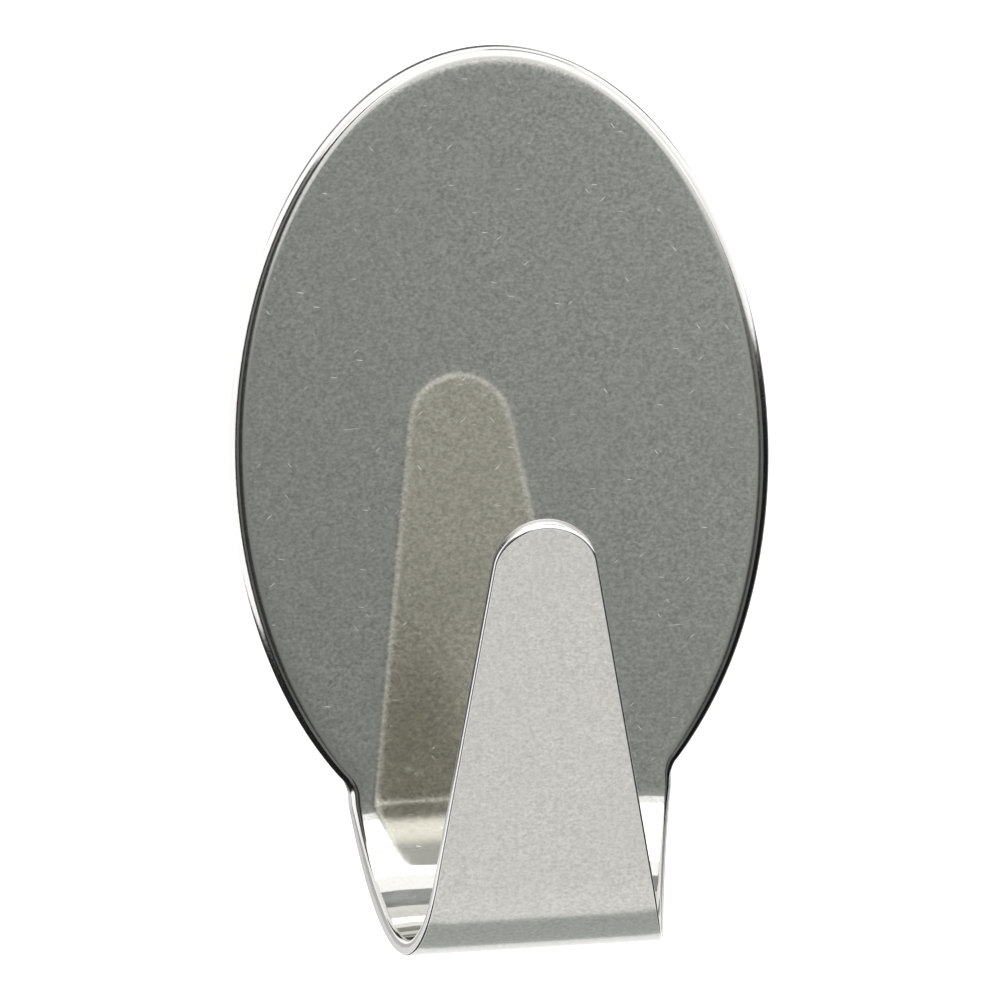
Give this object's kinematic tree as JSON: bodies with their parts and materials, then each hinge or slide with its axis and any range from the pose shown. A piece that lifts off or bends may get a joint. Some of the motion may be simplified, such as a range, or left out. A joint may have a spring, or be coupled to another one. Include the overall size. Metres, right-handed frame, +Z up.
{
  "type": "adhesive wall hook",
  "caption": "Oval satin steel wall hook: a plate with a coined edge, drawn out below into a forward-bent tapering tongue, on a double-sided adhesive foam pad with a peel-off liner.",
  "frame": {"origin": "the middle of the oval on the outer face of the release liner, which is the face towards the wall", "axes": "+X to the right seen from the room, +Y into the wall, +Z up; the hook opens towards -Y"},
  "size_m": [0.034, 0.0238, 0.0559],
  "materials": {
    "satin_steel": "satin stainless sheet with a fine grain, a bright coined front edge and plain sheared cut edges",
    "adhesive_film": "tacky clear acrylic film, slightly yellow",
    "pad_foam": "white closed-cell polyethylene foam",
    "liner_paper": "smooth silicone-coated paper, cream"
  },
  "bodies": {
    "hook": {"hook_plate": "satin_steel", "plate_adhesive": "adhesive_film", "foam_core": "pad_foam", "wall_adhesive": "adhesive_film"},
    "liner": {"release_liner": "liner_paper"}
  },
  "joints": [
    {"name": "liner_peel", "type": "slide", "parent": "hook", "child": "liner", "axis": [0, 1, 0], "range_m": [0, 0.02]}
  ]
}
